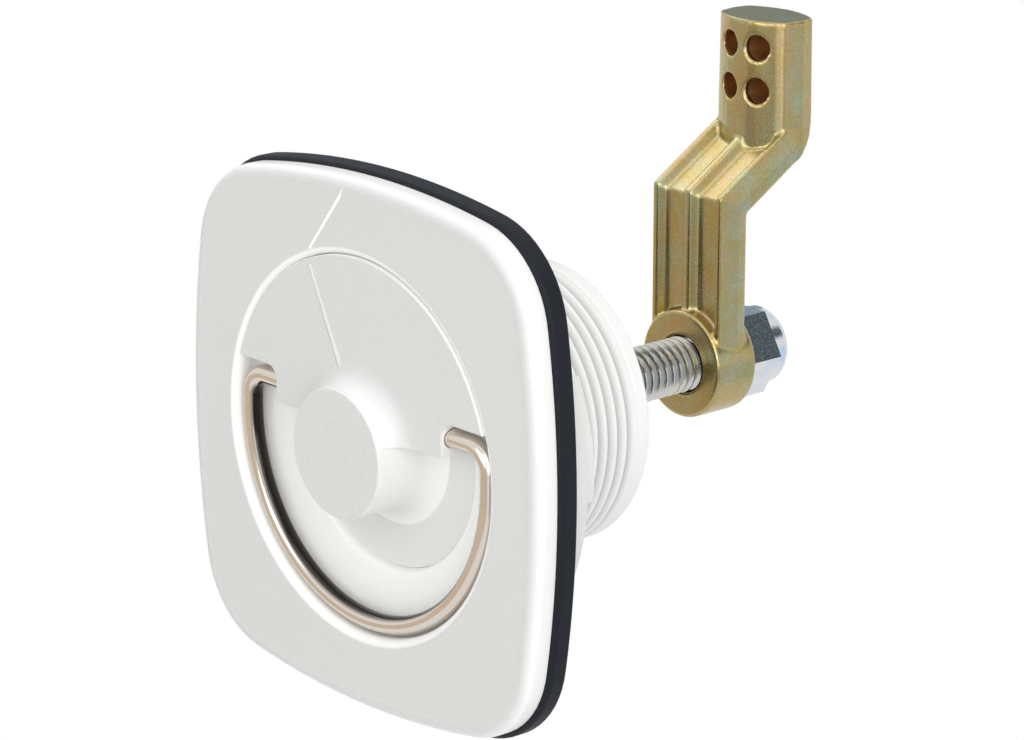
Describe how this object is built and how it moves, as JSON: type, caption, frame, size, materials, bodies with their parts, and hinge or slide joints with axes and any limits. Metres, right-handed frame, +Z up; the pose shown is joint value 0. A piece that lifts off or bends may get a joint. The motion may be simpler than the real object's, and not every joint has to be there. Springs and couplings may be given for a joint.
{
  "type": "flush-mount cam latch",
  "caption": "Flush-mount cam latch for a hatch or locker: a moulded plate with a fold-down wire pull turns a stud and a cranked cam bar behind the panel.",
  "frame": {"origin": "On the barrel's axis, in the plane where the gasket meets the panel", "axes": "+Y runs along the barrel, from the plate's face through the panel to the cam bar; +Z is up, towards the cam bar's pad at rest; +X is to the right of someone who faces the plate"},
  "size_m": [0.0872, 0.1003, 0.102],
  "materials": {
    "housing_plastic": "white moulded plastic, fine satin grain on the face, smooth thread behind",
    "gasket_rubber": "matt black rubber",
    "nut_plastic": "white moulded plastic",
    "rotor_plastic": "white moulded plastic, satin",
    "seal_rubber": "black rubber, lightly greased",
    "bail_steel": "polished stainless wire",
    "stud_steel": "bright zinc plated rod with a rolled thread",
    "insert_brass": "turned brass",
    "spring_steel": "oiled black spring steel",
    "washer_steel": "stamped stainless sheet",
    "nut_steel": "bright zinc plated with a bluish tint",
    "cam_casting": "die-cast zinc alloy with a yellow chromate finish that shows green and pink tints",
    "ring_nylon": "plain nylon"
  },
  "bodies": {
    "housing": {"housing": "housing_plastic", "panel_gasket": "gasket_rubber"},
    "mounting_nut": {"mounting_nut": "nut_plastic"},
    "rotor": {"rotor": "rotor_plastic", "rotor_o_ring": "seal_rubber", "stud": "stud_steel", "stud_insert": "insert_brass", "cross_pin": "spring_steel", "thrust_washer": "washer_steel", "spring_washer": "spring_steel", "retaining_clip": "spring_steel", "jam_nut": "nut_steel", "cam_bar": "cam_casting", "lock_nut": "nut_steel", "lock_nut_ring": "ring_nylon"},
    "bail": {"bail": "bail_steel"}
  },
  "joints": [
    {"name": "rotor_turn", "type": "hinge", "parent": "housing", "child": "rotor", "pos_m": [0, 0, 0], "axis": [0, 1, 0], "range_deg": [0, 90]},
    {"name": "bail_lift", "type": "hinge", "parent": "rotor", "child": "bail", "pos_m": [0, -0.0052, 0.0062], "axis": [-1, 0, 0], "range_deg": [0, 100]},
    {"name": "nut_travel", "type": "slide", "parent": "housing", "child": "mounting_nut", "axis": [0, 1, 0], "range_m": [0, 0.02]}
  ]
}
